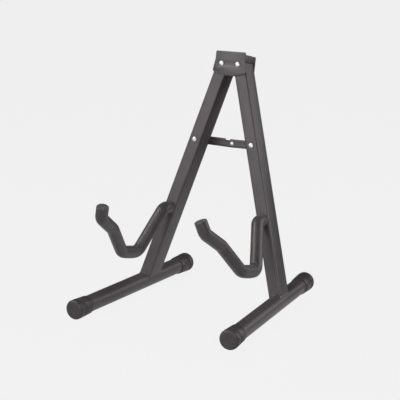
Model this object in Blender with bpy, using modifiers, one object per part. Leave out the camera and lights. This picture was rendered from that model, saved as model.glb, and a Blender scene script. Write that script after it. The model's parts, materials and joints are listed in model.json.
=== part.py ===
"""Folding A-frame stand for a guitar, made in metres with +Z up.

The origin is on the floor, midway between the two feet.  The legs lie in one
plane that leans back; each leg frame has its origin on its fold axis, -Z down
the leg and -Y out of its front face.
"""
import math

import bmesh
import bpy
from mathutils import Matrix, Vector

# Stance
leg_splay = math.radians(16.4)
lean_back = math.radians(11.9)
toe_out = math.radians(4.07)
leg_length = 0.384
leg_top_clearance = 0.00114

# Leg and foot tubes
leg_width = 0.0212
leg_depth = 0.0328
leg_corner = 0.0025
leg_wall = 0.0015
leg_above_hinge = 0.012
foot_radius = 0.0134
foot_wall = 0.0015
foot_front = 0.201
foot_rear = 0.117

# Rubber end caps
cap_wall = 0.0019
cap_knob_proud = 0.0003
cap_taper = 0.0008
cap_length = 0.034
cap_knob_length = 0.012
cap_edge = 0.0045
cap_end_wall = 0.006
cap_groove_depth = 0.0006
cap_groove_width = 0.0012
cap_lip = 0.0004

# Hinge bracket
plate_thickness = 0.0020
plate_top = 0.020
plate_beyond_tab = 0.0001
plate_flare_start = 0.007
plate_flare_end = -0.0115
plate_beyond_leg = 0.0009
plate_bottom = -0.019
plate_corner = 0.0020
rear_plate_top = 0.0155
rear_plate_inset = 0.0004
tab_thickness = 0.0010
tab_low = 0.005
tab_high = 0.0155
hinge_washer_thickness = 0.0005
hinge_washer_radius = 0.0085
plate_edge = 0.0005
tab_edge = 0.0004

# Rivets
rivet_radius = 0.003
rivet_head_overhang = 0.0012
rivet_head_height = 0.0019
rivet_head_rim = 0.0003
rivet_tail_overhang = 0.0008
rivet_tail_rim = 0.0008
rivet_tail_height = 0.0014
rivet_tail_flat = 0.0025
centre_head_overhang = 0.0006
centre_head_height = 0.0015

# Folding crossbar
link_along_leg = 0.1322
link_dip = 0.0010
link_height = 0.0137
link_thickness = 0.002
link_stand_off = 0.0005
link_to_link = 0.0004
link_edge = 0.0003
link_washer_radius = 0.006
link_notch_depth = 0.0022
link_notch_from = 0.0050
link_notch_to = 0.0140
link_notch_slope = 0.0004

# Cradle arms: corners as (distance down the leg, distance in front of the leg's
# centre plane, bend radius)
arm_corners = (
    (0.2540, 0.0350, 0.0125),
    (0.3321, 0.0678, 0.0150),
    (0.3298, 0.1172, 0.0200),
    (0.2884, 0.1694, 0.0260),
    (0.2690, 0.2138, 0.0150),
)
arm_start_along = 0.2540
arm_tip = (0.2497, 0.2216)
rod_radius = 0.004
foam_radius = 0.0100
foam_end_gap = 0.0008
rod_recess = 0.003

# Plugs in the tops of the legs
plug_head_height = 0.002
plug_stem_height = 0.006
plug_stem_corner = 0.0012

# Fits
touch_gap = 0.0003
turn_gap = 0.0003
cutter_overshoot = 0.004
round_segments = 36
small_segments = 20
edge_segments = 3

# Sizes that follow from those above
hinge_half_spacing = (leg_width / 2 * math.cos(leg_splay) + leg_above_hinge * math.sin(leg_splay)
                      + leg_top_clearance)
cap_bore = foot_radius + touch_gap
cap_sleeve_radius = cap_bore + cap_wall
cap_radius = cap_sleeve_radius + cap_knob_proud
hinge_height = cap_radius + leg_length * math.cos(leg_splay) * math.cos(lean_back)
weld_setback = 0.5 * (foot_front - foot_rear) * math.cos(toe_out)
hinge_setback = weld_setback + leg_length * math.cos(leg_splay) * math.sin(lean_back)
leg_face = leg_depth / 2
washer_outer = leg_face + touch_gap + hinge_washer_thickness
plate_inner = washer_outer + touch_gap
plate_outer = plate_inner + plate_thickness
tab_offset = hinge_half_spacing + leg_width / 2 + touch_gap + tab_thickness / 2
plate_top_half_width = tab_offset + tab_thickness / 2 + plate_beyond_tab
leg_edge_at_flare = (hinge_half_spacing - plate_flare_end * math.tan(leg_splay)
                     + leg_width / 2 / math.cos(leg_splay))
plate_flare_half_width = leg_edge_at_flare + plate_beyond_leg
hole_radius = rivet_radius + turn_gap
rivet_head_radius = rivet_radius + rivet_head_overhang
rivet_tail_radius = rivet_radius + rivet_tail_overhang
centre_head_radius = rivet_radius + centre_head_overhang
link_inner = leg_face + link_stand_off
link_outer_inner = link_inner + link_thickness + link_to_link
link_outer_face = link_outer_inner + link_thickness
link_half_span = hinge_half_spacing + link_along_leg * math.sin(leg_splay)
link_length = math.hypot(link_half_span, link_dip)
link_dip_angle = math.asin(link_dip / link_length)


def clear_scene():
    for old in list(bpy.data.objects):
        bpy.data.objects.remove(old, do_unlink=True)


def new_collection(name):
    collection = bpy.data.collections.new(name)
    bpy.context.scene.collection.children.link(collection)
    return collection


def new_material(name, colour, roughness, metallic=0.0):
    material = bpy.data.materials.new(name)
    material.use_nodes = True
    shader = material.node_tree.nodes["Principled BSDF"]
    shader.inputs["Base Color"].default_value = (*colour, 1.0)
    shader.inputs["Roughness"].default_value = roughness
    shader.inputs["Metallic"].default_value = metallic
    return material


def place(obj, parent, location=(0, 0, 0), turn=(0, 0, 0)):
    obj.parent = parent
    obj.location = location
    obj.rotation_euler = turn
    return obj


def new_frame(name, parent, location=(0, 0, 0), turn=(0, 0, 0)):
    frame = bpy.data.objects.new(name, None)
    frame.empty_display_size = 0.02
    parts.objects.link(frame)
    return place(frame, parent, location, turn)


def new_part(name, data, material):
    obj = bpy.data.objects.new(name, data)
    parts.objects.link(obj)
    data.materials.append(material)
    return obj


def turned(name, profile, material, segments, closed=False):
    """A piece turned about its Z axis from (radius, height) points."""
    mesh = bpy.data.meshes.new(name)
    points = [(radius, 0, height) for radius, height in profile]
    edges = [(i, i + 1) for i in range(len(points) - 1)]
    if closed:
        edges.append((len(points) - 1, 0))
    mesh.from_pydata(points, edges, [])
    obj = new_part(name, mesh, material)
    screw = obj.modifiers.new("turn", "SCREW")
    screw.axis = "Z"
    screw.steps = segments
    screw.render_steps = segments
    screw.use_merge_vertices = True
    screw.merge_threshold = 0.00001
    screw.use_smooth_shade = True
    return obj


def arc(centre, radius, start, end, steps):
    """Points on an arc in a plane, from start to end in degrees."""
    points = []
    for i in range(steps + 1):
        angle = math.radians(start + (end - start) * i / steps)
        points.append((centre[0] + radius * math.cos(angle), centre[1] + radius * math.sin(angle)))
    return points


def rounded_rectangle(width, height, radius, steps=5):
    x = width / 2 - radius
    y = height / 2 - radius
    points = arc((x, y), radius, 0, 90, steps)
    points += arc((-x, y), radius, 90, 180, steps)
    points += arc((-x, -y), radius, 180, 270, steps)
    points += arc((x, -y), radius, 270, 360, steps)
    return points


def circle(centre, radius, steps=small_segments):
    return arc(centre, radius, 0, 360, steps)[:-1]


def flat_curve(name, outlines, thickness):
    """A filled outline in XY, as thick as given along Z; inner outlines are holes."""
    curve = bpy.data.curves.new(name, "CURVE")
    curve.dimensions = "2D"
    curve.fill_mode = "BOTH"
    curve.extrude = thickness / 2
    for outline in outlines:
        spline = curve.splines.new("POLY")
        spline.points.add(len(outline) - 1)
        for point, (x, y) in zip(spline.points, outline):
            point.co = (x, y, 0, 1)
        spline.use_cyclic_u = True
    return curve


def round_curve(name, points, radius, resolution):
    """A solid round bar along a line of points."""
    curve = bpy.data.curves.new(name, "CURVE")
    curve.dimensions = "3D"
    curve.bevel_depth = radius
    curve.bevel_resolution = resolution
    curve.use_fill_caps = True
    spline = curve.splines.new("POLY")
    spline.points.add(len(points) - 1)
    for point, co in zip(spline.points, points):
        point.co = (*co, 1)
    return curve


def mesh_of_curve(curve):
    """The curve's solid as a mesh with its caps welded on."""
    holder = bpy.data.objects.new("holder", curve)
    bpy.context.scene.collection.objects.link(holder)
    depsgraph = bpy.context.evaluated_depsgraph_get()
    mesh = bpy.data.meshes.new_from_object(holder.evaluated_get(depsgraph))
    bpy.data.objects.remove(holder, do_unlink=True)
    bpy.data.curves.remove(curve)
    edit = bmesh.new()
    edit.from_mesh(mesh)
    bmesh.ops.remove_doubles(edit, verts=edit.verts, dist=0.000001)
    bmesh.ops.recalc_face_normals(edit, faces=edit.faces)
    edit.to_mesh(mesh)
    edit.free()
    return mesh


def cutter_mesh_object(name, mesh, parent, location=(0, 0, 0), turn=(0, 0, 0)):
    obj = bpy.data.objects.new(name, mesh)
    cutters.objects.link(obj)
    obj.hide_render = True
    obj.display_type = "WIRE"
    return place(obj, parent, location, turn)


def cutter_cylinder(name, radius, length, segments, parent, location, turn):
    mesh = bpy.data.meshes.new(name)
    edit = bmesh.new()
    bmesh.ops.create_cone(edit, cap_ends=True, segments=segments,
                          radius1=radius, radius2=radius, depth=length)
    edit.to_mesh(mesh)
    edit.free()
    return cutter_mesh_object(name, mesh, parent, location, turn)


def cut(obj, cutter, operation="DIFFERENCE"):
    boolean = obj.modifiers.new(cutter.name, "BOOLEAN")
    boolean.operation = operation
    boolean.solver = "EXACT"
    boolean.object = cutter


def soften(obj, width, angle=40):
    bevel = obj.modifiers.new("edges", "BEVEL")
    bevel.width = width
    bevel.segments = edge_segments
    bevel.limit_method = "ANGLE"
    bevel.angle_limit = math.radians(angle)


def filleted(corners, start, end, steps=5):
    """A line of points in a plane from start to end, with an arc at each corner."""
    centres = [Vector(start)] + [Vector(corner[:2]) for corner in corners] + [Vector(end)]
    points = [centres[0]]
    for i, corner in enumerate(corners, start=1):
        before = (centres[i - 1] - centres[i]).normalized()
        after = (centres[i + 1] - centres[i]).normalized()
        half = before.angle(after) / 2
        reach = corner[2] / math.tan(half)
        middle = centres[i] + (before + after).normalized() * (corner[2] / math.sin(half))
        first = centres[i] + before * reach - middle
        last = centres[i] + after * reach - middle
        sweep = first.angle_signed(last)
        for k in range(steps + 1):
            angle = -sweep * k / steps
            turned_x = first.x * math.cos(angle) - first.y * math.sin(angle)
            turned_y = first.x * math.sin(angle) + first.y * math.cos(angle)
            points.append(middle + Vector((turned_x, turned_y)))
    points.append(centres[-1])
    return points


def foot_turn(sign):
    """The turn, within the leg's frame, that lays a foot level and points its front outwards."""
    leg_turn = Matrix.Rotation(-lean_back, 3, "X") @ Matrix.Rotation(-sign * leg_splay, 3, "Y")
    return (leg_turn.inverted() @ Matrix.Rotation(sign * toe_out, 3, "Z")).to_euler()


def make_leg_tube(side, leg, foot):
    outlines = [
        rounded_rectangle(leg_width, leg_depth, leg_corner),
        rounded_rectangle(leg_width - 2 * leg_wall, leg_depth - 2 * leg_wall, leg_corner - leg_wall / 2),
    ]
    length = leg_above_hinge + leg_length
    mesh = mesh_of_curve(flat_curve(f"{side}_leg_tube", outlines, length))
    tube = new_part(f"{side}_leg_tube", mesh, coated_steel)
    place(tube, leg, (0, 0, leg_above_hinge - length / 2))
    foot_space = cutter_cylinder(f"{side}_foot_space", foot_radius + touch_gap, 4 * leg_depth, round_segments,
                                 foot, (0, 0, 0), (math.pi / 2, 0, 0))
    cut(tube, foot_space)
    for name, along in (("hinge", 0.0), ("link", link_along_leg)):
        hole = cutter_cylinder(f"{side}_{name}_hole", hole_radius, leg_depth + 2 * cutter_overshoot,
                               small_segments, leg, (0, 0, -along), (math.pi / 2, 0, 0))
        cut(tube, hole)


def make_top_plug(side, leg):
    inside_width = leg_width - 2 * leg_wall - 2 * touch_gap
    inside_depth = leg_depth - 2 * leg_wall - 2 * touch_gap
    head_curve = flat_curve(f"{side}_leg_plug", [rounded_rectangle(leg_width, leg_depth, leg_corner)],
                            plug_head_height)
    head = new_part(f"{side}_leg_plug", mesh_of_curve(head_curve), black_plastic)
    seat = leg_above_hinge + touch_gap
    place(head, leg, (0, 0, seat + plug_head_height / 2))
    stem_curve = flat_curve(f"{side}_plug_stem",
                            [rounded_rectangle(inside_width, inside_depth, plug_stem_corner)],
                            plug_stem_height)
    stem_top = seat + plug_head_height / 2
    stem = cutter_mesh_object(f"{side}_plug_stem", mesh_of_curve(stem_curve), leg,
                              (0, 0, stem_top - plug_stem_height / 2))
    cut(head, stem, "UNION")


def make_foot(side, foot):
    middle = 0.5 * (foot_front - foot_rear)
    half = 0.5 * (foot_front + foot_rear) - cap_end_wall - touch_gap
    inner = foot_radius - foot_wall
    profile = [(foot_radius, half), (foot_radius, -half), (inner, -half), (inner, half)]
    tube = turned(f"{side}_foot_tube", profile, coated_steel, round_segments, closed=True)
    place(tube, foot, (0, -middle, 0), (math.pi / 2, 0, 0))
    for end, reach, turn in (("front", foot_front, math.pi / 2), ("rear", foot_rear, -math.pi / 2)):
        cap = turned(f"{side}_{end}_cap", cap_profile(), black_rubber, round_segments)
        direction = -1 if end == "front" else 1
        place(cap, foot, (0, direction * reach, 0), (turn, 0, 0))


def cap_profile():
    """From the middle of the outer end, along the outside, and back up the bore."""
    centre = (cap_radius - cap_edge, -cap_edge)
    profile = [(0, 0)]
    profile += arc(centre, cap_edge, 90, 0, 5)
    profile += [
        (cap_radius, -cap_knob_length),
        (cap_sleeve_radius - cap_groove_depth, -cap_knob_length - cap_groove_width / 2),
        (cap_sleeve_radius, -cap_knob_length - cap_groove_width),
        (cap_sleeve_radius - cap_taper, -cap_length + cap_lip),
        (cap_sleeve_radius - cap_taper - cap_lip, -cap_length),
        (cap_bore, -cap_length),
        (cap_bore, -cap_end_wall),
        (0, -cap_end_wall),
    ]
    return profile


def arm_path():
    return filleted(arm_corners, (arm_start_along, leg_face + touch_gap), arm_tip)


def along_arm(points):
    return [(0, -forward, -along) for along, forward in points]


def shortened(points, first, last):
    """The same line with its first and last points moved in by the given lengths."""
    points = [Vector(point) for point in points]
    points[0] += (points[1] - points[0]).normalized() * first
    points[-1] += (points[-2] - points[-1]).normalized() * last
    return points


def make_arm(side, leg):
    path = arm_path()
    rod = new_part(f"{side}_arm_rod",
                   mesh_of_curve(round_curve("rod", along_arm(shortened(path, 0, rod_recess)),
                                             rod_radius, 2)),
                   coated_steel)
    place(rod, leg)
    foam = new_part(f"{side}_foam_sleeve",
                    mesh_of_curve(round_curve("foam", along_arm(shortened(path, foam_end_gap, 0)),
                                              foam_radius, 5)),
                    black_foam)
    place(foam, leg)
    bore_path = shortened(path, -cutter_overshoot, -cutter_overshoot)
    bore_mesh = mesh_of_curve(round_curve("bore", along_arm(bore_path), rod_radius + touch_gap, 2))
    bore = cutter_mesh_object(f"{side}_foam_bore", bore_mesh, leg)
    cut(foam, bore)


def rivet_profile(front, rear):
    """A rivet whose head seats at height front and whose tail seats at -rear."""
    head_base = front + touch_gap
    tail_base = -rear - touch_gap
    profile = [(0, head_base + rivet_head_height)]
    for angle in (65, 45, 25):
        radius = rivet_head_radius * math.cos(math.radians(angle))
        height = head_base + rivet_head_height * math.sin(math.radians(angle))
        profile.append((radius, height))
    profile += [
        (rivet_head_radius, head_base + rivet_head_rim),
        (rivet_head_radius, head_base),
        (rivet_radius, head_base),
        (rivet_radius, tail_base),
    ]
    return profile + tail_profile(tail_base)


def tail_profile(base):
    """The upset end of a rivet below the given height."""
    return [
        (rivet_tail_radius, base),
        (rivet_tail_radius, base - rivet_tail_rim),
        (rivet_tail_flat, base - rivet_tail_height),
        (0, base - rivet_tail_height),
    ]


def make_rivet(name, parent, location, front, rear):
    rivet = turned(name, rivet_profile(front, rear), zinc_steel, small_segments)
    place(rivet, parent, location, (math.pi / 2, 0, 0))


def make_washer(name, parent, along, inner_face, thickness, radius, material):
    """A flat ring about a rivet; inner_face is its nearer face behind the leg's centre plane."""
    half = thickness / 2
    profile = [(radius, half), (radius, -half), (hole_radius, -half), (hole_radius, half)]
    washer = turned(name, profile, material, small_segments, closed=True)
    place(washer, parent, (0, inner_face + half, -along), (math.pi / 2, 0, 0))


def plate_outline(top, half_top, half_flare):
    """Straight top, sides that may flare below the rivets, and a bowed bottom edge."""
    sag = plate_flare_end - plate_corner - plate_bottom
    bow_radius = (half_flare ** 2 + sag ** 2) / (2 * sag)
    bow_centre = (0, plate_bottom + bow_radius)
    reach = math.degrees(math.asin((half_flare - plate_corner) / bow_radius))
    top_x = half_top - plate_corner
    top_y = top - plate_corner
    points = arc((top_x, top_y), plate_corner, 0, 90, 4)
    points += arc((-top_x, top_y), plate_corner, 90, 180, 4)
    points += [(-half_top, plate_flare_start), (-half_flare, plate_flare_end)]
    points += arc(bow_centre, bow_radius, 270 - reach, 270 + reach, 14)
    points += [(half_flare, plate_flare_end), (half_top, plate_flare_start)]
    return points


def plate_curve(name, top, half_top, half_flare):
    outlines = [
        plate_outline(top, half_top, half_flare),
        circle((-hinge_half_spacing, 0), hole_radius),
        circle((hinge_half_spacing, 0), hole_radius),
    ]
    return flat_curve(name, outlines, plate_thickness)


def make_bracket(bracket):
    upright = (math.pi / 2, 0, 0)
    middle = plate_inner + plate_thickness / 2
    front_curve = plate_curve("front", plate_top, plate_top_half_width, plate_flare_half_width)
    front = new_part("bracket_front_plate", mesh_of_curve(front_curve), coated_steel)
    place(front, bracket, (0, -middle, 0), upright)
    soften(front, plate_edge)
    half_rear = plate_top_half_width - rear_plate_inset
    rear_curve = plate_curve("rear", rear_plate_top, half_rear, half_rear)
    rear = new_part("bracket_rear_channel", mesh_of_curve(rear_curve), coated_steel)
    place(rear, bracket, (0, middle, 0), upright)
    for side, sign in (("left", -1), ("right", 1)):
        tab_mesh = bpy.data.meshes.new(f"{side}_tab")
        edit = bmesh.new()
        bmesh.ops.create_cube(edit, size=1)
        depth = plate_inner * 2 + plate_thickness / 2 - touch_gap
        bmesh.ops.scale(edit, verts=edit.verts, vec=(tab_thickness, depth, tab_high - tab_low))
        edit.to_mesh(tab_mesh)
        edit.free()
        tab_y = -plate_inner + touch_gap + depth / 2
        tab = cutter_mesh_object(f"{side}_tab", tab_mesh, bracket,
                                 (sign * tab_offset, tab_y, 0.5 * (tab_low + tab_high)))
        soften(tab, tab_edge)
        cut(rear, tab, "UNION")
        pivot = (sign * hinge_half_spacing, 0, 0)
        make_rivet(f"{side}_hinge_rivet", bracket, pivot, plate_outer, plate_outer)


def left_link_outline():
    """A strip with round ends whose top edge is notched beside its free end."""
    half = link_height / 2
    floor = half - link_notch_depth
    points = arc((0, 0), half, 90, 270, 12)
    points += arc((link_length, 0), half, -90, 90, 12)
    points += [
        (link_length - link_notch_from, half),
        (link_length - link_notch_from - link_notch_slope, floor),
        (link_length - link_notch_to, floor),
        (link_length - link_notch_to - link_notch_slope, half),
    ]
    return points


def right_link_outline():
    half = link_height / 2
    points = arc((0, 0), half, -90, 90, 12)
    points += arc((-link_length, 0), half, 90, 270, 12)
    return points


def make_link(side, frame, outline, reach):
    outlines = [outline, circle((0, 0), hole_radius), circle((reach, 0), hole_radius)]
    mesh = mesh_of_curve(flat_curve(f"{side}_link", outlines, link_thickness))
    link = new_part(f"{side}_link", mesh, coated_steel)
    place(link, frame, (0, 0, 0), (math.pi / 2, 0, 0))
    soften(link, link_edge)


def make_centre_rivet(left_frame, right_frame):
    """The middle pivot is open: its head goes with one strip and its tail with the other."""
    half = link_thickness / 2
    seat = half + touch_gap
    head = [(0, seat + centre_head_height)]
    for angle in (65, 45, 25):
        radius = centre_head_radius * math.cos(math.radians(angle))
        height = seat + centre_head_height * math.sin(math.radians(angle))
        head.append((radius, height))
    head += [
        (centre_head_radius, seat),
        (rivet_radius, seat),
        (rivet_radius, -half),
        (0, -half),
    ]
    front = turned("centre_rivet_head", head, zinc_steel, small_segments)
    place(front, right_frame, (-link_length, 0, 0), (math.pi / 2, 0, 0))
    tail = [(0, half), (rivet_radius, half), (rivet_radius, -seat)] + tail_profile(-seat)
    back = turned("centre_rivet_tail", tail, zinc_steel, small_segments)
    place(back, left_frame, (link_length, 0, 0), (math.pi / 2, 0, 0))


def make_leg(side, sign, bracket):
    leg = new_frame(f"{side}_leg_frame", bracket, (sign * hinge_half_spacing, 0, 0),
                    (0, -sign * leg_splay, 0))
    foot = new_frame(f"{side}_foot_frame", leg, (0, 0, -leg_length), foot_turn(sign))
    make_leg_tube(side, leg, foot)
    make_top_plug(side, leg)
    make_foot(side, foot)
    make_arm(side, leg)
    for face, inner_face in (("front", -washer_outer), ("rear", leg_face + touch_gap)):
        make_washer(f"{side}_hinge_{face}_washer", leg, 0.0, inner_face,
                    hinge_washer_thickness, hinge_washer_radius, black_plastic)
    make_rivet(f"{side}_link_rivet", leg, (0, 0, -link_along_leg), leg_face, link_outer_face)
    return leg


def make_crossbar(left_leg, right_leg):
    half = link_thickness / 2
    left_frame = new_frame("left_link_frame", left_leg, (0, link_outer_inner + half, -link_along_leg),
                           (0, link_dip_angle - leg_splay, 0))
    right_frame = new_frame("right_link_frame", right_leg, (0, link_inner + half, -link_along_leg),
                            (0, leg_splay - link_dip_angle, 0))
    make_link("left", left_frame, left_link_outline(), link_length)
    make_link("right", right_frame, right_link_outline(), -link_length)
    make_centre_rivet(left_frame, right_frame)
    spacer = link_outer_inner - leg_face - 2 * touch_gap
    make_washer("left_link_washer", left_leg, link_along_leg, leg_face + touch_gap,
                spacer, link_washer_radius, zinc_steel)
    behind = link_outer_face - link_inner - link_thickness - 2 * touch_gap
    make_washer("right_link_washer", right_leg, link_along_leg,
                link_inner + link_thickness + touch_gap, behind + touch_gap, link_washer_radius,
                zinc_steel)


clear_scene()
parts = new_collection("guitar_stand")
cutters = new_collection("cutters")
coated_steel = new_material("coated_steel", (0.075, 0.070, 0.071), 0.42, 0.0)
black_rubber = new_material("black_rubber", (0.045, 0.042, 0.043), 0.6)
black_plastic = new_material("black_plastic", (0.05, 0.048, 0.048), 0.45)
black_foam = new_material("black_foam", (0.062, 0.057, 0.058), 0.8)
zinc_steel = new_material("zinc_steel", (0.75, 0.75, 0.76), 0.25, 1.0)

bracket_frame = new_frame("bracket_frame", None, (0, hinge_setback, hinge_height), (-lean_back, 0, 0))
make_bracket(bracket_frame)
left_leg_frame = make_leg("left", -1, bracket_frame)
right_leg_frame = make_leg("right", 1, bracket_frame)
make_crossbar(left_leg_frame, right_leg_frame)
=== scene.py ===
# Folding A-frame guitar stand: coating, foam, rubber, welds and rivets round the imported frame.
# Metres, X across the stand, -Y out of its front, Z up, origin on the floor between the feet.
import json
import math

import bmesh
import bpy
from mathutils import Matrix, Vector, noise


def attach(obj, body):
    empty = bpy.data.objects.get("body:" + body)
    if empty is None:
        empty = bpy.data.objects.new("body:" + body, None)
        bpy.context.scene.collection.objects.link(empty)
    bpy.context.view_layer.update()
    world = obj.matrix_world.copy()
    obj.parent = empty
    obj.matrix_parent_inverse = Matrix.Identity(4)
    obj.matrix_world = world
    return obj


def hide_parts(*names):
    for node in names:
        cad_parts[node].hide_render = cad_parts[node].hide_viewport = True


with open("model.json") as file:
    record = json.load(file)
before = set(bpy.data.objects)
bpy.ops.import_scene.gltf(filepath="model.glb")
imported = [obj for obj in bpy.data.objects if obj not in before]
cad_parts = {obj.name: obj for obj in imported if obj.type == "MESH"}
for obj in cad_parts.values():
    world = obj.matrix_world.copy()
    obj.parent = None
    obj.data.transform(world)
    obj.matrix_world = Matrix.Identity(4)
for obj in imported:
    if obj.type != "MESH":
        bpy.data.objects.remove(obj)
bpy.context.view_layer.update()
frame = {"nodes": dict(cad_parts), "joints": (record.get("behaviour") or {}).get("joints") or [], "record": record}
print("frame loaded:", len(frame["nodes"]), "nodes")

scene = bpy.context.scene
scene.view_settings.view_transform = "Standard"

mm = 0.001
sides = (("left", -1), ("right", 1))
joints = {joint["name"]: joint for joint in frame["joints"]}

# How the stand is set up; every added piece is placed from these.
stance = {
    "splay": math.radians(16.4),
    "lean": math.radians(11.9),
    "toeOut": math.radians(4.07),
    "legLength": 384 * mm,
    "legWidth": 21.2 * mm,
    "legDepth": 32.8 * mm,
    "legCorner": 2.5 * mm,
    "footRadius": 13.4 * mm,
    "footFront": 201 * mm,
    "footRear": 117 * mm,
    "linkAlong": 132.2 * mm,
}


def legFrame(sign):
    # Origin on the leg's fold axis, -Z down the leg, -Y out of its front face.
    joint = joints["left_leg_fold" if sign < 0 else "right_leg_fold"]
    lean = Matrix.Rotation(-stance["lean"], 4, "X")
    splay = Matrix.Rotation(-sign * stance["splay"], 4, "Y")
    return Matrix.Translation(joint["pos_m"]) @ (lean @ splay)


def footFrame(sign):
    # Origin where the leg's axis meets the foot tube's, Y along the foot to the rear, Z up.
    weld = legFrame(sign) @ Vector((0, 0, -stance["legLength"]))
    return Matrix.Translation(weld) @ Matrix.Rotation(sign * stance["toeOut"], 4, "Z")


def linear(hexColour):
    # sRGB hex to the linear RGBA that shaders take
    channels = [int(hexColour[i:i + 2], 16) / 255 for i in (1, 3, 5)]
    return tuple(c / 12.92 if c <= 0.04045 else ((c + 0.055) / 1.055) ** 2.4
                 for c in channels) + (1.0,)


def addNode(tree, kind, values=None, links=None, **settings):
    node = tree.nodes.new("ShaderNode" + kind)
    for name, value in settings.items():
        setattr(node, name, value)
    for name, value in (values or {}).items():
        node.inputs[name].default_value = value
    for name, source in (links or {}).items():
        tree.links.new(source, node.inputs[name])
    return node


def startFinish(name, look):
    material = bpy.data.materials.new(name)
    material.use_nodes = True
    tree = material.node_tree
    shader = tree.nodes["Principled BSDF"]
    for socket, value in look["shader"].items():
        shader.inputs[socket].default_value = value
    place = addNode(tree, "TexCoord").outputs["Object"]
    return material, tree, shader, place


def perMetre(size):
    # a noise scale whose blotches are about this size across
    return 1 / size


# Each finish has its settings first, then the function that makes its nodes.

# Mild steel, powder sprayed and oven cured: satin charcoal, a faint orange peel, and painted shade: a darker
# colour along the edges.
powderCoat = {
    "base": "#4b4647",
    "patch": "#544e50",
    # the painted shade along the edges
    "edge": "#343132",
    "shader": {"IOR": 1.5, "Metallic": 0.0},
    "roughnessLow": 0.27,
    "roughnessHigh": 0.36,
    "patchSize": 45 * mm,
    "patchFrom": 0.35,          # noise values where a lighter patch starts and is full
    "patchTo": 0.65,
    "peelSize": 2.2 * mm,       # a real peel is 1 to 2 mm across
    "peelHeight": 0.012 * mm,
    "gritSize": 0.7 * mm,       # real grit is 0.1 mm; coarser here so that it shows
    "gritHeight": 0.004 * mm,
    "gritFrom": 0.3,            # noise values of the lowest and highest roughness
    "gritTo": 0.7,
    "edgeRadius": 0.9 * mm,
    "edgeFrom": 0.995,          # cosine between rounded and true normal where the painted edge shade starts
    "edgeTo": 0.90,
    "edgeShare": 0.55,
}


def makePowderCoat(look):
    material, tree, shader, place = startFinish("powderCoatedSteel", look)
    patch = addNode(tree, "TexNoise", {"Scale": perMetre(look["patchSize"]), "Detail": 4.0,
                                       "Roughness": 0.6}, {"Vector": place})
    grit = addNode(tree, "TexNoise", {"Scale": perMetre(look["gritSize"]), "Detail": 2.0},
                   {"Vector": place})
    peel = addNode(tree, "TexNoise", {"Scale": perMetre(look["peelSize"]), "Detail": 1.0},
                   {"Vector": place})
    patchMask = addNode(tree, "MapRange",
                        {"From Min": look["patchFrom"], "From Max": look["patchTo"]},
                        {"Value": patch.outputs["Fac"]})
    coat = addNode(tree, "Mix", data_type="RGBA",
                   links={"Factor": patchMask.outputs["Result"]})
    coat.inputs["A"].default_value = linear(look["base"])
    coat.inputs["B"].default_value = linear(look["patch"])
    # painted shade on the edges: darker where a rounded normal leaves the true one
    rounded = addNode(tree, "Bevel", {"Radius": look["edgeRadius"]}, samples=4)
    flat = addNode(tree, "NewGeometry")
    agree = addNode(tree, "VectorMath", operation="DOT_PRODUCT",
                    links={0: rounded.outputs["Normal"], 1: flat.outputs["Normal"]})
    edge = addNode(tree, "MapRange", {"From Min": look["edgeFrom"], "From Max": look["edgeTo"],
                                      "To Max": look["edgeShare"]},
                   {"Value": agree.outputs["Value"]})
    edgeShaded = addNode(tree, "Mix", data_type="RGBA",
                   links={"Factor": edge.outputs["Result"], "A": coat.outputs["Result"]})
    edgeShaded.inputs["B"].default_value = linear(look["edge"])
    tree.links.new(edgeShaded.outputs["Result"], shader.inputs["Base Color"])
    rough = addNode(tree, "MapRange", {"From Min": look["gritFrom"], "From Max": look["gritTo"],
                                       "To Min": look["roughnessLow"],
                                       "To Max": look["roughnessHigh"]},
                    {"Value": grit.outputs["Fac"]})
    tree.links.new(rough.outputs["Result"], shader.inputs["Roughness"])
    peelBump = addNode(tree, "Bump", {"Distance": look["peelHeight"]},
                       {"Height": peel.outputs["Fac"]})
    gritBump = addNode(tree, "Bump", {"Distance": look["gritHeight"]},
                       {"Height": grit.outputs["Fac"], "Normal": peelBump.outputs["Normal"]})
    tree.links.new(gritBump.outputs["Normal"], shader.inputs["Normal"])
    return material


# Rubber, compression moulded: near black, dull, with a fine spark-eroded mould texture and a
# little pale bloom.
mouldedRubber = {
    "base": "#403b3c",
    "bloom": "#464142",
    "shader": {"IOR": 1.52, "Roughness": 0.45, "Specular IOR Level": 0.4},
    "bloomSize": 14 * mm,
    "bloomFrom": 0.4,
    "bloomTo": 0.7,
    "grainSize": 0.9 * mm,      # real mould texture is 0.1 to 0.2 mm; coarser so that it shows
    "grainHeight": 0.02 * mm,
}


def makeRubber(look):
    material, tree, shader, place = startFinish("mouldedRubber", look)
    bloom = addNode(tree, "TexNoise", {"Scale": perMetre(look["bloomSize"]), "Detail": 5.0,
                                       "Roughness": 0.65}, {"Vector": place})
    grain = addNode(tree, "TexNoise", {"Scale": perMetre(look["grainSize"]), "Detail": 2.0},
                    {"Vector": place})
    mask = addNode(tree, "MapRange", {"From Min": look["bloomFrom"], "From Max": look["bloomTo"]},
                   {"Value": bloom.outputs["Fac"]})
    colour = addNode(tree, "Mix", data_type="RGBA", links={"Factor": mask.outputs["Result"]})
    colour.inputs["A"].default_value = linear(look["base"])
    colour.inputs["B"].default_value = linear(look["bloom"])
    tree.links.new(colour.outputs["Result"], shader.inputs["Base Color"])
    bump = addNode(tree, "Bump", {"Distance": look["grainHeight"]},
                   {"Height": grain.outputs["Fac"]})
    tree.links.new(bump.outputs["Normal"], shader.inputs["Normal"])
    return material
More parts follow.
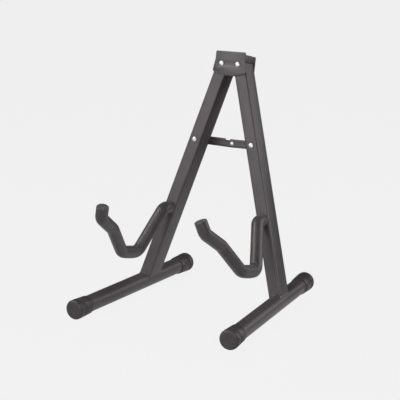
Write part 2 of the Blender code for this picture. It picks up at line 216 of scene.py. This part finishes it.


# NBR/PVC foam, extruded as a tube with its own closed skin: soft charcoal, silky rather than shiny, with pin-prick
# cells showing through as small pits, and painted shade in the pits.
foamSkin = {
    "base": "#453f40",
    "pitShade": "#3c3738",
    "pale": "#4e4849",
    "shader": {"IOR": 1.45, "Roughness": 0.4, "Sheen Weight": 0.12, "Sheen Roughness": 0.5},
    "cellSize": 1.1 * mm,       # real cells are 0.2 to 0.4 mm; coarser so that they show
    "cellHeight": 0.05 * mm,
    "pitFrom": 0.30,            # cell distance where a pit's painted shade starts and is full
    "pitTo": 0.05,
    "pitShare": 0.8,
    "patchSize": 22 * mm,
    "patchFrom": 0.35,
    "patchTo": 0.65,
}
# The same foam where a knife has cut it: the cells are open, so it is rougher, its pits deeper and the painted
# shade in them darker.
foamCut = {
    "base": "#403c3d",
    "pitShade": "#2e2b2c",
    "pale": "#4a4647",
    "shader": {"IOR": 1.45, "Roughness": 0.85, "Sheen Weight": 0.2, "Sheen Roughness": 0.5},
    "cellSize": 1.0 * mm,
    "cellHeight": 0.25 * mm,
    "pitFrom": 0.30,
    "pitTo": 0.05,
    "pitShare": 0.8,
    "patchSize": 6 * mm,
    "patchFrom": 0.35,
    "patchTo": 0.65,
}


def makeFoam(name, look):
    material, tree, shader, place = startFinish(name, look)
    cells = addNode(tree, "TexVoronoi", {"Scale": perMetre(look["cellSize"]), "Randomness": 1.0},
                    {"Vector": place}, feature="F1")
    patch = addNode(tree, "TexNoise", {"Scale": perMetre(look["patchSize"]), "Detail": 4.0,
                                       "Roughness": 0.6}, {"Vector": place})
    patchMask = addNode(tree, "MapRange",
                        {"From Min": look["patchFrom"], "From Max": look["patchTo"]},
                        {"Value": patch.outputs["Fac"]})
    skin = addNode(tree, "Mix", data_type="RGBA", links={"Factor": patchMask.outputs["Result"]})
    skin.inputs["A"].default_value = linear(look["base"])
    skin.inputs["B"].default_value = linear(look["pale"])
    # painted shade: a darker colour in the bottom of each cell's pit
    pitShadeMask = addNode(tree, "MapRange", {"From Min": look["pitFrom"], "From Max": look["pitTo"],
                                     "To Max": look["pitShare"]},
                  {"Value": cells.outputs["Distance"]})
    colour = addNode(tree, "Mix", data_type="RGBA",
                     links={"Factor": pitShadeMask.outputs["Result"], "A": skin.outputs["Result"]})
    colour.inputs["B"].default_value = linear(look["pitShade"])
    tree.links.new(colour.outputs["Result"], shader.inputs["Base Color"])
    bump = addNode(tree, "Bump", {"Distance": look["cellHeight"]},
                   {"Height": cells.outputs["Distance"]})
    tree.links.new(bump.outputs["Normal"], shader.inputs["Normal"])
    return material


# Steel rivet, zinc plated and headed by a spinning punch: silvery, softly scuffed.
zincPlate = {
    "base": "#f4f4f5",
    "dull": "#dcdcdf",
    "roughnessLow": 0.48,
    "roughnessHigh": 0.62,
    "shader": {"Metallic": 1.0},
    "scuffSize": 1.6 * mm,
    "scuffHeight": 0.01 * mm,
}


def makeZinc(look):
    material, tree, shader, place = startFinish("zincPlatedSteel", look)
    scuff = addNode(tree, "TexNoise", {"Scale": perMetre(look["scuffSize"]), "Detail": 3.0},
                    {"Vector": place})
    colour = addNode(tree, "Mix", data_type="RGBA", links={"Factor": scuff.outputs["Fac"]})
    colour.inputs["A"].default_value = linear(look["base"])
    colour.inputs["B"].default_value = linear(look["dull"])
    tree.links.new(colour.outputs["Result"], shader.inputs["Base Color"])
    rough = addNode(tree, "MapRange",
                    {"To Min": look["roughnessLow"], "To Max": look["roughnessHigh"]},
                    {"Value": scuff.outputs["Fac"]})
    tree.links.new(rough.outputs["Result"], shader.inputs["Roughness"])
    bump = addNode(tree, "Bump", {"Distance": look["scuffHeight"]},
                   {"Height": scuff.outputs["Fac"]})
    tree.links.new(bump.outputs["Normal"], shader.inputs["Normal"])
    return material


# Nylon, injection moulded: black, satin, for the washers and the plugs in the legs' tops.
mouldedNylon = {
    "base": "#2c2a2a",
    "pale": "#363334",
    "shader": {"IOR": 1.53, "Roughness": 0.45},
    "flowSize": 5 * mm,
    "flowHeight": 0.01 * mm,
}


def makeNylon(look):
    material, tree, shader, place = startFinish("mouldedNylon", look)
    flow = addNode(tree, "TexNoise", {"Scale": perMetre(look["flowSize"]), "Detail": 3.0},
                   {"Vector": place})
    colour = addNode(tree, "Mix", data_type="RGBA", links={"Factor": flow.outputs["Fac"]})
    colour.inputs["A"].default_value = linear(look["base"])
    colour.inputs["B"].default_value = linear(look["pale"])
    tree.links.new(colour.outputs["Result"], shader.inputs["Base Color"])
    bump = addNode(tree, "Bump", {"Distance": look["flowHeight"]}, {"Height": flow.outputs["Fac"]})
    tree.links.new(bump.outputs["Normal"], shader.inputs["Normal"])
    return material


finishes = {
    "coated_steel": makePowderCoat(powderCoat),
    "black_rubber": makeRubber(mouldedRubber),
    "black_foam": makeFoam("extrudedFoamSkin", foamSkin),
    "zinc_steel": makeZinc(zincPlate),
    "black_plastic": makeNylon(mouldedNylon),
}
cutFoam = makeFoam("cutFoamFace", foamCut)
print("finishes made:", len(finishes) + 1)


joinWithin = 0.001 * mm         # points closer than this in a new mesh are one


def newPiece(name, rings, finish, body, closed=True, place=None):
    # A skin over rings of points. Each ring is joined to the next; the last goes to the first
    # if closed, or else both ends are filled.
    count = len(rings[0])
    points = [point for ring in rings for point in ring]
    faces = []
    for i in range(len(rings) if closed else len(rings) - 1):
        near = i * count
        far = (i + 1) % len(rings) * count
        for k in range(count):
            after = (k + 1) % count
            faces.append((near + k, near + after, far + after, far + k))
    mesh = bpy.data.meshes.new(name)
    mesh.from_pydata(points, [], faces)
    if place is not None:
        mesh.transform(place)
    edit = bmesh.new()
    edit.from_mesh(mesh)
    if not closed:
        edit.verts.ensure_lookup_table()
        bmesh.ops.contextual_create(edit, geom=edit.verts[:count])
        bmesh.ops.contextual_create(edit, geom=edit.verts[-count:])
    bmesh.ops.remove_doubles(edit, verts=edit.verts, dist=joinWithin)
    bmesh.ops.recalc_face_normals(edit, faces=edit.faces)
    edit.to_mesh(mesh)
    edit.free()
    mesh.materials.append(finish)
    mesh.shade_smooth()
    piece = bpy.data.objects.new(name, mesh)
    scene.collection.objects.link(piece)
    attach(piece, body)
    return piece


ridgeHalfWidth = 0.03           # radians, of a mould's parting line
ridgeSteps = (-0.035, -0.015, 0.0, 0.015, 0.035)


def turnedRings(profile, segments, ridges=(), ridgeHeight=0.0):
    # Rings about Z from (radius, height) points; a point on the axis is a very small ring.
    # Each ridge is an angle where the mould's halves met, a fine line standing proud.
    angles = sorted({round(2 * math.pi * i / segments, 6) for i in range(segments)}
                    | {round((ridge + step) % (2 * math.pi), 6) for ridge in ridges
                       for step in ridgeSteps})
    rings = []
    for radius, height in profile:
        ring = []
        for angle in angles:
            nearest = min((abs(angle - ridge) for ridge in ridges), default=1.0)
            onAxis = radius < 0.5 * mm
            proud = 0.0 if onAxis else ridgeHeight * max(0.0, 1 - nearest / ridgeHalfWidth)
            reach = radius + proud
            ring.append((reach * math.cos(angle), reach * math.sin(angle), height))
        rings.append(ring)
    return rings


def arcPoints(centreRadius, centreHeight, radius, start, end, steps):
    return [(centreRadius + radius * math.cos(math.radians(start + (end - start) * i / steps)),
             centreHeight + radius * math.sin(math.radians(start + (end - start) * i / steps)))
            for i in range(steps + 1)]


# The cradle arms' foam sleeves, in mm.
cradle = {
    # corners as (distance down the leg, distance in front of its centre plane, bend radius)
    "corners": ((254.0, 35.0, 12.5), (332.1, 67.8, 15.0), (329.8, 117.2, 20.0),
                (288.4, 169.4, 26.0), (269.0, 213.8, 15.0)),
    "start": (254.0, 16.7),
    "tip": (249.7, 221.6),
    "foamRadius": 10.0,
    "boreRadius": 4.3,
    "legGap": 0.5,
    "endThickness": 2.6,
    "endTaper": 0.25,           # the sleeve is drawn in a little at its free end
    "taperLength": 30,
    "around": 56,
    "step": 0.8,
    "thinning": 0.30,           # skin drawn thin outside a bend, per radian of turn
    "flank": 0.18,              # and pushed out at its flanks
    "bendReach": 0.6,           # how far along that shows, as a share of the bend
    "sharpTurn": 0.9,           # radians; a bend sharper than this creases three times, not once
    "creaseDepth": 0.75,
    "creaseWidth": 1.5,
    "lump": 0.12,
    "lumpLength": 18,
    "sag": 1.0,                 # how far the foam hangs below the rod between the lower bends
    "sagLength": 16,
    # the rim and the slightly dished cut end: distance back from the tip, distance in from the skin
    "rim": ((0.30, 0.22), (0.08, 0.45), (0.0, 0.8), (0.02, 2.2), (0.12, 4.5)),
    # and on to the middle of the end: distance back, radius
    "dish": ((0.22, 3.0), (0.28, 1.2), (0.30, 0.01)),
}


def bentLine(look):
    # The rod's line in its own plane: stations as (point, direction, distance along), bends as
    # (distance along, turn, side the bend's middle is on, radius), and the line's length.
    corners = look["corners"]
    stops = [Vector(look["start"])] + [Vector(c[:2]) for c in corners] + [Vector(look["tip"])]
    line, bends, along = [], [], 0.0
    here = stops[0]
    for i, corner in enumerate(corners, start=1):
        back = (stops[i - 1] - stops[i]).normalized()
        ahead = (stops[i + 1] - stops[i]).normalized()
        half = back.angle(ahead) / 2
        reach = corner[2] / math.tan(half)
        middle = stops[i] + (back + ahead).normalized() * (corner[2] / math.sin(half))
        first = stops[i] + back * reach
        straight = (first - here).length
        pieces = max(1, round(straight / look["step"]))
        for k in range(pieces):
            line.append((here.lerp(first, k / pieces), -back, along + straight * k / pieces))
        along += straight
        turn = math.pi - 2 * half
        side = 1 if (-back).cross(ahead) > 0 else -1
        pieces = max(2, round(corner[2] * turn / look["step"]))
        for k in range(pieces):
            spin = Matrix.Rotation(side * turn * k / pieces, 2)
            line.append((middle + spin @ (first - middle), spin @ -back,
                         along + corner[2] * turn * k / pieces))
        bends.append((along + corner[2] * turn / 2, turn, side, corner[2]))
        along += corner[2] * turn
        here = stops[i] + ahead * reach
    straight = (stops[-1] - here).length
    ahead = (stops[-1] - here).normalized()
    pieces = max(2, round(straight / look["step"]))
    for k in range(pieces + 1):
        line.append((here.lerp(stops[-1], k / pieces), ahead, along + straight * k / pieces))
    return line, bends, along + straight


def makeSleeve(side, sign, look):
    line, bends, length = bentLine(look)
    count = look["around"]
    outer = look["foamRadius"]
    endLoss = look["endTaper"]
    place = legFrame(sign)
    bottom = (bends[1][0] + bends[2][0]) / 2      # midway between the two bends of the cradle
    bottomSide = bends[1][2]

    def ringAt(point, ahead, radiusOf):
        across = Vector((-ahead.y, ahead.x))      # in the bend's plane, to the left of travel
        ring = []
        for k in range(count):
            angle = 2 * math.pi * k / count
            radius = radiusOf(angle)
            inPlane = point + across * (radius * math.cos(angle))
            ring.append((radius * math.sin(angle) * mm, -inPlane.y * mm, -inPlane.x * mm))
        return ring

    def skin(distance):
        def radiusOf(angle):
            radius = outer
            for middle, turn, bendSide, bendRadius in bends:
                inside = math.cos(angle) * bendSide          # 1 on the bend's inside
                reach = bendRadius * turn * look["bendReach"]
                near = math.exp(-((distance - middle) / reach) ** 2)
                radius -= look["thinning"] * near * turn * max(0.0, -inside) ** 2
                radius += look["flank"] * near * turn * (1 - inside * inside)
                creases = 3 if turn > look["sharpTurn"] else 1
                for c in range(creases):
                    spot = middle + (c - (creases - 1) / 2) * bendRadius * turn / creases
                    fold = math.exp(-((distance - spot) / look["creaseWidth"]) ** 2)
                    radius -= look["creaseDepth"] * min(1.0, turn) * fold * max(0.0, inside) ** 1.5
            low = math.exp(-((distance - bottom) / look["sagLength"]) ** 2)
            radius += look["sag"] * low * max(0.0, -math.cos(angle) * bottomSide) ** 2
            taper = look["taperLength"]
            radius -= endLoss * min(1.0, max(0.0, (distance - length + taper) / taper))
            # the sides differ because each looks up its own part of the noise
            where = Vector((math.cos(angle) * 0.6, math.sin(angle) * 0.6 + sign * 9,
                            distance / look["lumpLength"]))
            return radius + look["lump"] * noise.noise(where)
        return radiusOf

    def even(radius):
        return lambda angle: radius

    firstPoint, firstAhead, _ = line[0]
    lastPoint, lastAhead, _ = line[-1]
    start = firstPoint + firstAhead * look["legGap"]
    body = [station for station in line if look["legGap"] + 0.5 <= station[2] <= length - 0.7]
    floor = lastPoint - lastAhead * look["endThickness"]
    # up the bore from its closed floor to the cut face against the leg
    bore = [station for station in body if station[2] < length - look["endThickness"]][::-2]
    rings = [ringAt(floor, lastAhead, even(0.01)),
             ringAt(floor, lastAhead, even(look["boreRadius"]))]
    rings += [ringAt(point, ahead, even(look["boreRadius"])) for point, ahead, distance in bore]
    rings += [ringAt(start, firstAhead, even(look["boreRadius"])),
              ringAt(start, firstAhead, even(outer - 0.5))]
    firstSkin = len(rings)
    rings += [ringAt(point, ahead, skin(distance)) for point, ahead, distance in body]
    # over the rim to the middle of the cut end
    lastSkin = len(rings)
    for back, radius in [(back, outer - depth) for back, depth in look["rim"]] + list(look["dish"]):
        rings.append(ringAt(lastPoint - lastAhead * back, lastAhead, even(radius - endLoss)))
    sleeve = newPiece(side + "FoamSleeve", rings, finishes["black_foam"], side + "_leg",
                      closed=False, place=place)
    sleeve.data.materials.append(cutFoam)
    for face in sleeve.data.polygons:
        ringIndex = min(face.vertices) // count
        if not firstSkin - 1 <= ringIndex <= lastSkin + 1:
            face.material_index = 1
    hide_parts(side + "_foam_sleeve")


for side, sign in sides:
    makeSleeve(side, sign, cradle)
print("foam sleeves made")


# Rubber end caps of the feet, in mm.
endCap = {
    "radius": 15.9,
    "sleeveRadius": 15.6,
    "taper": 0.8,
    "bore": 13.7,
    "length": 34.0,
    "knob": 12.0,
    "edge": 4.5,
    "grooveDepth": 0.6,
    "grooveWidth": 1.2,
    "endWall": 6.0,
    # the shallow round dish in the knob's face: radius, height
    "dish": ((0.01, -0.35), (5.2, -0.35), (5.6, -0.30), (5.9, -0.02), (6.3, 0.0)),
    "segments": 72,
    "mouldLine": 0.10,
    "mouldLineAt": (20, 200),   # degrees
}


def capProfile(look):
    # From the middle of the outer face, over the knob, groove and sleeve, and back up the bore.
    # The small steps between these sizes are the corners' roundings.
    r, edge, knob = look["radius"], look["edge"], look["knob"]
    profile = list(look["dish"]) + arcPoints(r - edge, -edge, edge, 90, 0, 10)
    sleeve = look["sleeveRadius"]
    floor = sleeve - look["grooveDepth"]
    lip = sleeve - look["taper"]
    width = look["grooveWidth"]
    profile += [(r, -knob + 0.5), (r - 0.15, -knob + 0.12), (r - 0.5, -knob),
                (floor, -knob - 0.3), (floor, -knob - width + 0.25),
                (sleeve - 0.25, -knob - width - 0.05), (sleeve, -knob - width - 0.35),
                (lip, -look["length"] + 0.9), (lip - 0.25, -look["length"] + 0.25),
                (lip - 0.8, -look["length"]), (look["bore"] + 0.02, -look["length"]),
                (look["bore"], -look["length"] + 0.1), (look["bore"], -look["endWall"]),
                (0.01, -look["endWall"])]
    return [(radius * mm, height * mm) for radius, height in profile]


def makeCap(side, sign, end, look):
    reach = -stance["footFront"] if end == "front" else stance["footRear"]
    turn = math.pi / 2 if end == "front" else -math.pi / 2
    place = footFrame(sign) @ Matrix.Translation((0, reach, 0)) @ Matrix.Rotation(turn, 4, "X")
    mouldLines = [math.radians(angle) for angle in look["mouldLineAt"]]
    rings = turnedRings(capProfile(look), look["segments"], mouldLines, look["mouldLine"] * mm)
    name = side + end.capitalize() + "Cap"
    cap = newPiece(name, rings, finishes["black_rubber"], side + "_leg",
                   closed=False, place=place)
    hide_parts(f"{side}_{end}_cap")


for side, sign in sides:
    for end in ("front", "rear"):
        makeCap(side, sign, end, endCap)
print("rubber caps made")


# Weld beads where the legs meet the feet, in mm.
footWeld = {
    "size": 1.9,
    "ripplePitch": 1.5,
    "ripple": 0.16,
    "wander": 0.25,
    "wanderScale": 120,         # per metre
    "hollow": 0.32,             # how far the bead's face falls short of round
    "sink": 0.35,
    "rootIn": 0.3,
    "toeIn": 0.12,              # its two edges dip this far into the metal
    "wrap": 0.9,
    "cornerSteps": 8,
    "around": 168,
    "across": 6,
}


def makeFootWeld(side, sign, look):
    radius = stance["footRadius"]
    halfX = stance["legWidth"] / 2
    halfY = stance["legDepth"] / 2
    corner = stance["legCorner"]
    # the leg's outline: point and outward direction, evenly spaced along it
    outline = []
    for cx, cy, start in ((1, 1, 0), (-1, 1, 90), (-1, -1, 180), (1, -1, 270)):
        for i in range(look["cornerSteps"] + 1):
            angle = math.radians(start + 90 * i / look["cornerSteps"])
            outward = Vector((math.cos(angle), math.sin(angle)))
            middle = Vector((cx * (halfX - corner), cy * (halfY - corner)))
            outline.append((middle + outward * corner, outward))
    spans = [(outline[(i + 1) % len(outline)][0] - outline[i][0]).length
             for i in range(len(outline))]
    total = sum(spans)
    stations = []
    i, passed = 0, 0.0
    for k in range(look["around"]):
        goal = total * k / look["around"]
        while passed + spans[i] < goal:
            passed += spans[i]
            i += 1
        share = (goal - passed) / spans[i]
        here, after = outline[i], outline[(i + 1) % len(outline)]
        outward = here[1].lerp(after[1], share).normalized()
        stations.append((here[0].lerp(after[0], share), outward, goal))
    axis = (legFrame(sign).to_3x3().inverted() @ footFrame(sign).to_3x3()) @ Vector((0, 1, 0))
    square = 1 - axis.z ** 2
    rings = []
    for point, outward, goal in stations:
        # where a line down the leg through this point meets the foot tube
        along = point.x * axis.x + point.y * axis.y
        rest = point.length_squared - along ** 2 - radius ** 2
        height = (along * axis.z + math.sqrt((along * axis.z) ** 2 - square * rest)) / square
        seam = Vector((point.x, point.y, height))
        fromAxis = seam - axis * seam.dot(axis)
        tubeNormal = fromAxis.normalized()
        out3 = Vector((outward.x, outward.y, 0))
        alongTube = (out3 - tubeNormal * out3.dot(tubeNormal)).normalized()
        upLeg = Vector((0, 0, 1))
        phase = goal / (look["ripplePitch"] * mm)
        size = look["size"] + look["ripple"] * abs(math.sin(math.pi * phase))
        size += look["wander"] * noise.noise(Vector((goal * look["wanderScale"], sign * 3.0, 0)))
        ring = [seam - (alongTube + upLeg) * look["sink"] * mm - out3 * look["rootIn"] * mm]
        for k in range(look["across"] + 1):
            turn = math.pi / 2 * k / look["across"]
            bulge = 1 - look["hollow"] * math.sin(2 * turn)
            reachUp = size * math.cos(turn) * bulge
            reachOut = size * math.sin(turn) * bulge
            point3 = seam + (upLeg * reachUp + alongTube * reachOut) * mm
            # wrap onto the round tube
            drop = radius - math.sqrt(max(0.0, radius ** 2 - (reachOut * mm) ** 2))
            point3 -= tubeNormal * drop * look["wrap"]
            if k == 0:
                point3 -= out3 * look["toeIn"] * mm
            if k == look["across"]:
                point3 -= tubeNormal * look["toeIn"] * mm
            ring.append(point3)
        rings.append([p + Vector((0, 0, -stance["legLength"])) for p in ring])
    newPiece(side + "FootWeld", rings, finishes["coated_steel"], side + "_leg",
             place=legFrame(sign))


for side, sign in sides:
    makeFootWeld(side, sign, footWeld)
print("weld beads made")


# Hinge and crossbar rivets, in mm.
rivet = {
    "radius": 3.0,
    "headRadius": 4.2,
    "headHeight": 1.9,
    "rim": 0.35,
    "tailRadius": 3.8,
    "tailHeight": 1.4,
    "seatGap": 0.3,
    "segments": 40,
    # from the joint's origin to the outer faces it clamps, front and rear
    "hingeSeats": (19.5, 19.5),
    "crossbarSeats": (16.4, 21.3),
}


def rivetProfile(look, front, rear):
    # A domed head with a pin-prick from the spinning punch, a shank and a flattened tail, in mm.
    top = front + look["seatGap"]
    bottom = -rear - look["seatGap"]
    profile = [(0.01, top + look["headHeight"] - 0.12), (0.35, top + look["headHeight"] - 0.10),
               (0.6, top + look["headHeight"] - 0.03)]
    for i in range(1, 10):
        turn = math.radians(80 - 80 * i / 9)
        profile.append((look["headRadius"] * math.cos(turn),
                        top + look["rim"] + (look["headHeight"] - look["rim"]) * math.sin(turn)))
    profile += [(look["headRadius"], top + 0.08), (look["headRadius"] - 0.08, top),
                (look["radius"], top), (look["radius"], bottom), (look["tailRadius"] - 0.1, bottom),
                (look["tailRadius"], bottom - 0.15), (look["tailRadius"] - 0.1, bottom - 0.7),
                (look["tailRadius"] - 0.5, bottom - 1.1), (2.4, bottom - look["tailHeight"]),
                (1.2, bottom - look["tailHeight"]), (0.8, bottom - look["tailHeight"] + 0.5),
                (0.01, bottom - look["tailHeight"] + 0.6)]
    return [(radius * mm, height * mm) for radius, height in profile]


def makeRivet(name, node, body, place, seats, look):
    rings = turnedRings(rivetProfile(look, *seats), look["segments"])
    piece = newPiece(name, rings, finishes["zinc_steel"], body, closed=False,
                     place=place @ Matrix.Rotation(math.pi / 2, 4, "X"))
    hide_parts(node)


bracketFrame = {sign: Matrix.Translation(joints[side + "_leg_fold"]["pos_m"])
                @ Matrix.Rotation(-stance["lean"], 4, "X") for side, sign in sides}
for side, sign in sides:
    makeRivet(side + "HingeRivet", side + "_hinge_rivet", "hinge_bracket", bracketFrame[sign],
              rivet["hingeSeats"], rivet)
    drop = Matrix.Translation((0, 0, -stance["linkAlong"]))
    makeRivet(side + "CrossbarRivet", side + "_link_rivet", side + "_leg", legFrame(sign) @ drop,
              rivet["crossbarSeats"], rivet)
print("rivets made")


# CAD pieces that stay get their finish, and smooth shading where they curve.
keptPieces = {
    "joinWithin": 0.002 * mm,
    "sharpAngle": 31,           # degrees; an edge that turns further stays sharp
}


def softShading(look):
    # One node tree: joins the imported corners, then shades smooth except over sharp edges.
    tree = bpy.data.node_groups.new("softShading", "GeometryNodeTree")
    tree.interface.new_socket("Geometry", in_out="INPUT", socket_type="NodeSocketGeometry")
    tree.interface.new_socket("Geometry", in_out="OUTPUT", socket_type="NodeSocketGeometry")
    start = tree.nodes.new("NodeGroupInput")
    weld = tree.nodes.new("GeometryNodeMergeByDistance")
    weld.inputs["Distance"].default_value = look["joinWithin"]
    faces = tree.nodes.new("GeometryNodeSetShadeSmooth")
    faces.inputs["Shade Smooth"].default_value = True
    edges = tree.nodes.new("GeometryNodeSetShadeSmooth")
    edges.domain = "EDGE"
    angle = tree.nodes.new("GeometryNodeInputMeshEdgeAngle")
    compare = tree.nodes.new("FunctionNodeCompare")
    compare.operation = "LESS_THAN"
    compare.inputs[1].default_value = math.radians(look["sharpAngle"])
    end = tree.nodes.new("NodeGroupOutput")
    tree.links.new(start.outputs[0], weld.inputs["Geometry"])
    tree.links.new(weld.outputs[0], faces.inputs["Geometry"])
    tree.links.new(faces.outputs[0], edges.inputs["Geometry"])
    tree.links.new(angle.outputs["Unsigned Angle"], compare.inputs[0])
    tree.links.new(compare.outputs[0], edges.inputs["Shade Smooth"])
    tree.links.new(edges.outputs[0], end.inputs[0])
    return tree


shading = softShading(keptPieces)
slots = {part["node"]: part["material_slot"] for part in frame["record"]["subparts"]}
for name, node in frame["nodes"].items():
    node.data.materials.clear()
    node.data.materials.append(finishes[slots[name]])
    node.modifiers.new("softShading", "NODES").node_group = shading
print("CAD pieces finished")


# Floor, surround, softboxes and camera.
studio = {
    "paper": "#f2f2f2",         # floor and surround as the camera sees them
    "floorSize": 30.0,
    "glowNear": 0.52,           # how bright the floor is to the stand itself, under it
    "glowFar": 0.08,            # and away from it
    "glowFrom": 0.15,           # where it starts to fall, from the origin
    "glowTo": 0.65,
    "contactShade": 0.03,       # share of the camera's view of the floor that takes shadows
    "surroundGlow": 0.06,
}


def seenByCamera(tree, seen, unseen):
    # One shader for what the camera sees of the stage, another for the light it sends to the stand.
    path = addNode(tree, "LightPath")
    return addNode(tree, "MixShader", {}, {0: path.outputs["Is Camera Ray"], 1: unseen, 2: seen})


def makeFloor(look):
    half = look["floorSize"] / 2
    mesh = bpy.data.meshes.new("floor")
    mesh.from_pydata([(-half, -half, 0), (half, -half, 0), (half, half, 0), (-half, half, 0)], [],
                     [(0, 1, 2, 3)])
    floor = bpy.data.objects.new("floor", mesh)
    scene.collection.objects.link(floor)
    material = bpy.data.materials.new("paperFloor")
    material.use_nodes = True
    tree = material.node_tree
    tree.nodes.remove(tree.nodes["Principled BSDF"])
    paper = addNode(tree, "Emission", {"Color": linear(look["paper"])})
    matt = addNode(tree, "BsdfDiffuse", {"Color": linear(look["paper"])})
    seen = addNode(tree, "MixShader", {0: look["contactShade"]},
                   {1: paper.outputs[0], 2: matt.outputs[0]})
    spot = addNode(tree, "TexCoord")
    reach = addNode(tree, "VectorMath", {}, {0: spot.outputs["Object"]}, operation="LENGTH")
    fall = addNode(tree, "MapRange",
                   {"From Min": look["glowFrom"], "From Max": look["glowTo"],
                    "To Min": look["glowNear"], "To Max": look["glowFar"]},
                   {"Value": reach.outputs["Value"]}, interpolation_type="SMOOTHSTEP")
    glow = addNode(tree, "Emission", {}, {"Strength": fall.outputs["Result"]})
    mixed = seenByCamera(tree, seen.outputs[0], glow.outputs[0])
    tree.links.new(mixed.outputs[0], tree.nodes["Material Output"].inputs["Surface"])
    mesh.materials.append(material)


def makeSurround(look):
    world = bpy.data.worlds.new("studio")
    scene.world = world
    world.use_nodes = True
    tree = world.node_tree
    paper = addNode(tree, "Background", {"Color": linear(look["paper"])})
    glow = addNode(tree, "Background", {"Strength": look["surroundGlow"]})
    mixed = seenByCamera(tree, paper.outputs[0], glow.outputs[0])
    tree.links.new(mixed.outputs[0], tree.nodes["World Output"].inputs["Surface"])


softboxAims = {"middle": (0, 0, 0.16), "top": (0, 0.08, 0.36), "low": (0, 0, 0.05)}
# Square softboxes: what they aim at, azimuth (0 in front of the stand, 90 on its +X side),
# elevation, distance from the aim, side, watts.
softboxes = {
    "farFrontLeft": ("middle", 330, 14, 2.2, 0.9, 4.5),
    "farHighLeft": ("middle", 300, 38, 2.2, 0.9, 14.5),
    "farHighRight": ("middle", 120, 38, 2.2, 0.9, 9.0),
    "farRear": ("middle", 150, 14, 2.2, 0.9, 2.5),
    "topFront": ("top", 0, 5, 0.9, 0.45, 1.4),
    "topFrontLeft": ("top", 330, 35, 0.9, 0.45, 2.5),
    "topRight": ("top", 120, 5, 0.9, 0.45, 1.0),
    "lowFrontRight": ("low", 30, 14, 0.9, 0.4, 1.75),
    "lowRight": ("low", 120, 14, 0.9, 0.4, 1.1),
}


def addSoftbox(name, aim, azimuth, elevation, distance, side, power):
    a, e = math.radians(azimuth), math.radians(elevation)
    out = Vector((math.sin(a) * math.cos(e), -math.cos(a) * math.cos(e), math.sin(e)))
    light = bpy.data.lights.new(name, "AREA")
    light.shape = "SQUARE"
    light.size = side
    light.energy = power
    box = bpy.data.objects.new(name, light)
    box.location = Vector(softboxAims[aim]) + out * distance
    box.rotation_mode = "QUATERNION"
    box.rotation_quaternion = (-out).to_track_quat("-Z", "Y")
    box.visible_camera = False
    scene.collection.objects.link(box)


makeFloor(studio)
makeSurround(studio)
for name, setting in softboxes.items():
    addSoftbox(name, *setting)

view = {
    "location": (0.9937, -1.7639, 0.6914),
    "ahead": (-0.4754, 0.8445, -0.2467),
    "lens": 118.65,
    "sensor": 36.0,
}
camera = bpy.data.objects.new("camera", bpy.data.cameras.new("camera"))
camera.data.lens = view["lens"]
camera.data.sensor_width = view["sensor"]
camera.location = view["location"]
camera.rotation_mode = "QUATERNION"
camera.rotation_quaternion = Vector(view["ahead"]).to_track_quat("-Z", "Y")
scene.collection.objects.link(camera)
scene.camera = camera
print("floor, lights and camera set")
